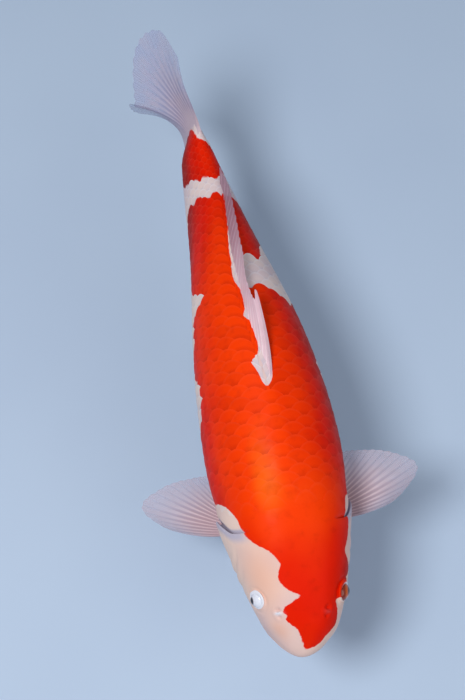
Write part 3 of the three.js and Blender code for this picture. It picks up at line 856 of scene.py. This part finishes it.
def pectoralSheet(side):
    f = finSheets["pectoral"]
    lead, lift = f["left"] if side < 0 else f["right"]

    def sheet(u, r):
        root = [mix(a, b, u) for a, b in zip(f["front"], f["rear"])]
        angle = np.radians(lead + f["fan"] * u)
        reach = through(f["rays"])(u) * r
        return (
            root[0] + reach * np.sin(angle) + f["sweep"] * (1 - u) * r * r,
            side * (root[1] + reach * np.cos(angle)),
            root[2] + reach * math.sin(math.radians(lift)) + f["tipLift"] * r * r,
        )

    return sheet


def pelvicSheet(side):
    f = finSheets["pelvic"]

    def sheet(u, r):
        root = [mix(a, b, u) for a, b in zip(f["front"], f["rear"])]
        ray = [mix(a, b, u) for a, b in zip(f["frontRay"], f["rearRay"])]
        reach = through(f["rays"])(u) * r
        x, y, z = [p + d * reach for p, d in zip(root, ray)]
        return x, side * y, z

    return sheet


def analSheet(u, r):
    f = finSheets["anal"]
    reach = through(f["rays"])(u) * r
    angle = np.radians(mix(f["frontDrop"], f["rearDrop"], u))
    x = mix(f["start"], f["end"], u)
    return x + reach * np.cos(angle), 0 * u, bottomAt(x) + f["sunk"] - reach * np.sin(angle)


# Height of the rays over the web, 0 to 1: each forks once or twice on its way out.
def rayRidges(u, r, count, forks):
    phase = u * count
    within = phase - np.floor(phase) - 0.5
    ridge = np.zeros(np.shape(u))
    for twig in forks:
        spread = twig * smooth(r, 0.25 + 0.25 * (abs(twig) < 0.2), 1.0)
        ridge = np.maximum(ridge, hump(within - spread, 0.17 - 0.07 * r))
    return ridge


# "root" and "edge" are thicknesses, "step" a drop behind the back fin's first rays, and "fleshSpan" and
# "fleshTint" how far up flesh and its colour reach.
smallFin = {
    "forks": (-0.28, 0.28), "root": 4, "edge": 0.4, "ridge": 0.9, "jag": 0.03, "wave": 0.8,
    "material": pairedFinMaterial,
}
finPieces = {
    "dorsal_fin": {
        "sheet": dorsalSheet, "grid": (260, 30), "rays": 21, "forks": (-0.16, 0.16), "root": 6, "edge": 0.6,
        "ridge": 0.6, "jag": 0.045, "wave": 0.6, "spine": 3.6, "step": 0.11, "material": backFinMaterial,
    },
    "caudal_fin": {
        "sheet": caudalSheet, "grid": (300, 56), "rays": 22, "forks": (-0.33, -0.12, 0.12, 0.33),
        "root": 4.4, "edge": 0.4, "ridge": 0.55, "jag": 0.012, "wave": 1.2, "fleshTint": (0.1, 0.5),
        "fleshSpan": (0.02, 0.42), "material": tailFinMaterial,
    },
    "anal_fin": {**smallFin, "sheet": analSheet, "grid": (90, 34), "rays": 8},
}
for side, word in ((-1, "left"), (1, "right")):
    finPieces["pectoral_fin_" + word] = {
        **smallFin, "sheet": pectoralSheet(side), "grid": (220, 44), "rays": 17,
        "forks": (-0.3, -0.1, 0.1, 0.3), "root": 5, "ridge": 0.8, "jag": 0.01, "wave": 1.0,
    }
    finPieces["pelvic_fin_" + word] = {**smallFin, "sheet": pelvicSheet(side), "grid": (110, 36), "rays": 9}


def makeFin(name, f):
    bm = bmesh.new()
    bmesh.ops.create_grid(bm, x_segments=f["grid"][0], y_segments=f["grid"][1], size=0.5)
    bmesh.ops.solidify(bm, geom=bm.faces[:], thickness=1)
    at = places(bm)
    u, r = at[:, 0] + 0.5, at[:, 1] + 0.5
    face = np.where(at[:, 2] > at[:, 2].mean(), 1.0, -1.0)

    # the edge is notched between rays, and steps in behind the back fin's first rays
    notch = 0.5 + 0.5 * np.cos(2 * math.pi * u * f["rays"])
    reach = 0.999 * r * (1 - f["jag"] * notch * smooth(r, 0.8, 1.0) * smooth(u, 0.04, 0.12))
    reach = reach * (1 - f.get("step", 0) * smooth(u, 0.085, 0.11) * (1 - smooth(u, 0.11, 0.5)))
    delta = 1e-3
    acrossFan = np.stack(f["sheet"](u + delta, r), 1) - np.stack(f["sheet"](u - delta, r), 1)
    alongRay = np.stack(f["sheet"](u, r + delta), 1) - np.stack(f["sheet"](u, r - delta), 1)
    normal = np.cross(acrossFan, alongRay)
    normal /= np.maximum(np.linalg.norm(normal, axis=1), 1e-9)[:, None]

    # thick at the root and thin at the edge, with ridges for the rays and a spine in front
    ray = rayRidges(u, r, f["rays"], f["forks"])
    flesh = 1 - smooth(r, *f.get("fleshSpan", (0.04, 0.2)))
    spine = f.get("spine", 0.8) * (1 - smooth(u, 0.01, 0.05)) * smooth(r, 0.12, 0.3) * mix(1.1, 0.3, r)
    thick = mix(f["edge"], f["root"], flesh) + f["ridge"] * ray * (1 - flesh) * mix(1, 0.35, r) + spine
    half = thick / 2 * mix(1, 0.6, smooth(r, 0.9, 1))
    wave = f["wave"] * np.sin(u * 9 + r * 2) * r * r
    points = np.stack(f["sheet"](u, reach), 1) + normal * (half * face + wave)[:, None]
    place(bm, posed(*points.T))
    obj = piece("koi_" + name, bm, f["material"])
    tinted = 1 - smooth(r, *f.get("fleshTint", (0.04, 0.2)))
    paint(obj, ray=ray, reach=r, flesh=tinted, rear=smooth(u, 0.25, 0.85))
    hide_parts(name)


for name, settings in finPieces.items():
    makeFin(name, settings)
print("koi: fins done")


# An eye by distance from its middle, in millimetres: black pupil, thin dark ring, iris and rim.
def eyeMaterial(name, ring, upper, rim):
    n = Nodes(name)
    out, up = n.attribute("out"), n.attribute("up")
    fibres = n.noise(500, 2)
    wander = n.maths("ADD", out, n.maths("MULTIPLY_ADD", fibres, 0.6, -0.3))
    iris = n.blend(n.ramp(fibres, 0.3, 0.7), ring, tone(206, 204, 214))
    iris = n.blend(n.ramp(up, -0.1, 0.5), iris, upper)
    iris = n.blend(n.ramp(wander, *eyes["rim"]), iris, rim)
    thin = n.blend(n.ramp(out, *eyes["pupilRing"]), tone(120, 104, 116), iris)
    colour = n.blend(n.ramp(out, *eyes["pupil"]), tone(8, 9, 14), thin)
    return n.finish(
        Base_Color=colour, Roughness=0.16, Specular_IOR_Level=0.35, Coat_Weight=0.5, Coat_Roughness=0.04
    )


def eyeTurn(side):  # turns a point that faces upwards to where the eye looks
    outwards = Vector((eyes["axis"].x, side * eyes["axis"].y, eyes["axis"].z))
    return np.array(outwards.to_track_quat("Z", "Y").to_matrix())


def eyeMiddle(side):
    return np.array([eyes["x"], side * eyes["y"], eyes["z"]])


def makeEye(word, side, material):
    bm = bmesh.new()
    bmesh.ops.create_uvsphere(bm, u_segments=64, v_segments=40, radius=1)
    at = places(bm)
    fromFront = np.degrees(np.arccos(np.clip(at[:, 2], -1, 1)))
    radius = eyes["radius"] + eyes["bulge"] * hump(fromFront, eyes["bulgeDegrees"])
    local = at * radius[:, None]
    moved = local @ eyeTurn(side).T + eyeMiddle(side)
    place(bm, posed(*moved.T))
    obj = piece("koi_eye_" + word, bm, material)
    out = np.where(local[:, 2] < 0, 20, np.linalg.norm(local[:, :2], axis=1))
    paint(obj, out=out, up=(moved[:, 2] - eyes["z"]) / eyes["radius"])
    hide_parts("eye_" + word)


whiteEye = eyeMaterial("koi_eye_right", tone(176, 180, 200), tone(226, 228, 238), tone(232, 234, 244))
amberEye = eyeMaterial("koi_eye_left", tone(226, 208, 190), tone(190, 84, 22), tone(126, 40, 16))
makeEye("right", 1, whiteEye)
makeEye("left", -1, amberEye)

# A lid is a soft ring round the eye, broader above it.
eyelid = {"radius": 8.3, "halfWidth": 2.1, "halfHeight": 1.5, "broader": 1.9, "sides": 96, "tube": 20}


def makeEyelid(word, side):
    e = eyelid
    tube = 0.2  # radius of the plain ring's tube, before its points are moved
    bm = bmesh.new()
    upright = Matrix.Translation((1, 0, 0)) @ Matrix.Rotation(math.pi / 2, 4, "X")
    bmesh.ops.create_circle(bm, segments=e["tube"], radius=tube, matrix=upright)
    spinRound(bm, bm.verts[:] + bm.edges[:], e["sides"])
    at = places(bm)
    around = np.arctan2(at[:, 1], at[:, 0])
    outward = (np.hypot(at[:, 0], at[:, 1]) - 1) / tube
    upward = at[:, 2] / tube
    turn = eyeTurn(side)
    axis = turn[:, 2]
    radial = np.stack([np.cos(around), np.sin(around), 0 * around], 1) @ turn.T
    upper = np.clip(radial[:, 2], 0, 1) ** 2
    middle = eyeMiddle(side) + (e["radius"] + e["broader"] * upper)[:, None] * radial
    # how far out along the eye's axis the skin is, by halving
    low, high = np.full(len(at), -12.0), np.full(len(at), 16.0)
    for _ in range(24):
        half = (low + high) / 2
        within = np.hypot(*inSection(*(middle + half[:, None] * axis).T)) < 1
        low, high = np.where(within, half, low), np.where(within, high, half)
    wide = e["halfWidth"] + e["broader"] * upper + 0.2 * np.sin(3 * around + 1)
    points = middle + (wide * outward)[:, None] * radial + (low + e["halfHeight"] * upward)[:, None] * axis
    place(bm, posed(*points.T))
    obj = piece("koi_eyelid_" + word, bm, skinMaterial)
    flat = 0 * around
    red = redness(points[:, 0], np.degrees(np.arctan2(*inSection(*points.T))))
    innerRim = smooth(-outward, -0.1, 0.5)
    pale = 0.85 * (innerRim if side < 0 else flat + 1)
    paint(obj, hi=red, deep=flat + 0.5, lip=flat, blush=flat + 0.2, membrane=flat, pale=pale)


makeEyelid("right", 1)
makeEyelid("left", -1)
print("koi: eyes done")

# A short pair of barbels on the upper lip and a longer pair at the corners of the mouth.
barbels = {
    "barbel_lip": {"x": 17, "angle": 112, "length": 13, "radius": 1.3, "tip": 0.5, "out": 0.42},
    "barbel_corner": {"x": 31, "angle": 122, "length": 27, "radius": 1.8, "tip": 0.5, "out": 0.24},
}
barbelSkin = barbelMaterial()


def makeBarbel(name, side, b):
    bm = bmesh.new()
    bmesh.ops.create_uvsphere(bm, u_segments=16, v_segments=28, radius=1)
    at = places(bm)
    t = (1 - at[:, 2]) / 2
    startY, startZ = skinPoint(np.array(float(b["x"])), math.radians(b["angle"]), -b["radius"])
    fromPole = np.sqrt(np.clip(1 - at[:, 2] ** 2, 1e-9, 1))
    thick = mix(b["radius"] * 1.15, b["tip"], t) * np.clip(fromPole * 3, 0, 1)
    offX, offY = at[:, 0] / fromPole * thick, at[:, 1] / fromPole * thick
    x = b["x"] + b["length"] * (0.05 * t + 0.75 * t * t) + offX
    y = side * (startY + b["length"] * b["out"] * (t - 0.65 * t * t) + offY)
    z = startZ - b["length"] * (0.75 * t - 0.25 * t * t) + 0.6 * offX
    place(bm, posed(x, y, z))
    obj = piece("koi_" + name, bm, barbelSkin)
    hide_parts(name)


for name, settings in barbels.items():
    makeBarbel(name + "_left", -1, settings)
    makeBarbel(name + "_right", 1, settings)
print("koi: barbels done")

# The stand: a flat base and two rods that end inside the belly.
stand = {
    "width": 92, "length": 240, "height": 12, "corner": 30, "bevel": 1.5, "gap": 0.05,
    "rod": 5, "flange": 12, "flangeHeight": 3, "chamfer": 1, "spacing": 66, "top": 96, "sides": 64,
}


def standPlastic():
    n = Nodes("stand_plastic")
    colour = n.blend(n.noise(260, 4), tone(158, 161, 165), tone(168, 171, 175))
    return n.finish(
        Base_Color=colour, Roughness=n.ramp(n.noise(30, 3), 0.3, 0.7, 0.42, 0.52),
        Normal=n.bump(n.noise(900, 2), 0.15, 0.0003),
    )


def brushedSteel():
    n = Nodes("stand_steel")
    where = n.add("ShaderNodeTexCoord", output="Object")
    drawn = n.add("ShaderNodeMapping", {"Vector": where, "Scale": (900, 900, 6)})
    lines = n.add("ShaderNodeTexNoise", {"Vector": drawn, "Scale": 1.0, "Detail": 2.0})
    colour = n.blend(lines, tone(168, 172, 178), tone(196, 199, 204))
    return n.finish(
        Base_Color=colour, Metallic=1.0, Roughness=n.ramp(lines, 0.3, 0.7, 0.2, 0.34),
        Normal=n.bump(lines, 0.1, 0.0002),
    )


def makeBase():
    s = stand
    bm = bmesh.new()
    bmesh.ops.create_cube(bm, size=1)
    bmesh.ops.scale(bm, vec=[s[k] * mm for k in ("width", "length", "height")], verts=bm.verts[:])
    bmesh.ops.translate(bm, vec=(0, 0, s["height"] * mm / 2), verts=bm.verts[:])
    upright = [e for e in bm.edges if abs(e.verts[0].co.z - e.verts[1].co.z) > mm]
    bevelling = {"affect": "EDGES", "profile": 0.5, "material": -1, "offset_type": "OFFSET"}
    bmesh.ops.bevel(bm, geom=upright, offset=s["corner"] * mm, segments=18, **bevelling)
    level = [e for e in bm.edges if abs(e.verts[0].co.z - e.verts[1].co.z) < 1e-7]
    rim = [e for e in level if any(abs(f.normal.z) > 0.9 for f in e.link_faces)]
    bmesh.ops.bevel(bm, geom=rim, offset=s["bevel"] * mm, segments=3, **bevelling)
    faceOutwards(bm)
    base = piece("stand_base_plate", bm, standPlastic(), False)
    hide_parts("stand_base")


def makeRods():
    s = stand
    steel = brushedSteel()
    foot, wide = s["height"] + s["gap"], s["flange"]
    upper = foot + s["flangeHeight"]
    profile = [
        [0, foot], [wide, foot], [wide, upper - s["chamfer"]], [wide - s["chamfer"], upper],
        [s["rod"], upper], [s["rod"], s["top"]], [0, s["top"]],
    ]
    for word, end in (("front", -1), ("rear", 1)):
        at = posed(np.array(body["balanceX"] + end * s["spacing"]), 0.0, 0.0)
        bm = bmesh.new()
        points = [bm.verts.new((radius * mm, 0, z * mm)) for radius, z in profile]
        edges = [bm.edges.new(pair) for pair in zip(points[:-1], points[1:])]
        spinRound(bm, points + edges, s["sides"])
        bmesh.ops.translate(bm, vec=(at[0], at[1], 0), verts=bm.verts[:])
        faceOutwards(bm)
        rod = piece("stand_rod_" + word + "_steel", bm, steel, False)
        for polygon in rod.data.polygons:
            polygon.use_smooth = abs(polygon.normal.z) < 0.3
        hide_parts("stand_rod_" + word)


makeBase()
makeRods()
print("koi: stand done")

studio = {
    "floorSize": 4,
    "floor": tone(186, 204, 226),
    "floorMottle": tone(182, 200, 223),
    "sky": tone(214, 222, 234),
    "skyStrength": 0.34,
    "key": {"at": (-0.82, -0.5, 2.2), "size": 0.8, "power": 33},
    "fill": {"at": (1.2, -1.0, 1.5), "size": 2.0, "power": 12},
    "lightsAimAt": (0, 0.05, 0.15),
}
# "height" is what the upright frame takes in at the target
camera = {"target": (-30.2, 55.9, 162), "distance": 1650, "elevation": 70, "height": 738.99, "sensor": 36}


def makeStudio():
    bm = bmesh.new()
    bmesh.ops.create_grid(bm, x_segments=1, y_segments=1, size=studio["floorSize"])
    mesh = meshOf("floor", bm)
    n = Nodes("floor")
    colour = n.blend(n.ramp(n.noise(3, 2), 0.3, 0.7), studio["floor"], studio["floorMottle"])
    mesh.materials.append(n.finish(Base_Color=colour, Roughness=0.7))
    floor = added("floor", mesh)

    world = bpy.data.worlds.new("studio")
    bpy.context.scene.world = world
    world.use_nodes = True
    background = world.node_tree.nodes["Background"].inputs
    background["Color"].default_value = studio["sky"]
    background["Strength"].default_value = studio["skyStrength"]
    for word in ("key", "fill"):
        light = bpy.data.lights.new(word, "AREA")
        light.shape = "DISK"
        light.size = studio[word]["size"]
        light.energy = studio[word]["power"]
        lamp = added(word, light)
        lamp.location = studio[word]["at"]
        aim = Vector(studio["lightsAimAt"]) - lamp.location
        lamp.rotation_euler = aim.to_track_quat("-Z", "Y").to_euler()


def makeCamera():
    c = camera
    tilt = math.radians(c["elevation"])
    view = Vector((0, math.cos(tilt), -math.sin(tilt)))
    data = bpy.data.cameras.new("camera")
    data.sensor_width = c["sensor"]
    data.lens = c["distance"] / c["height"] * c["sensor"]
    obj = added("camera", data)
    obj.location = Vector(c["target"]) * mm - view * c["distance"] * mm
    obj.rotation_euler = view.to_track_quat("-Z", "Y").to_euler()
    bpy.context.scene.camera = obj


makeStudio()
makeCamera()
bpy.context.scene.view_settings.view_transform = "Standard"
print("koi: studio done")
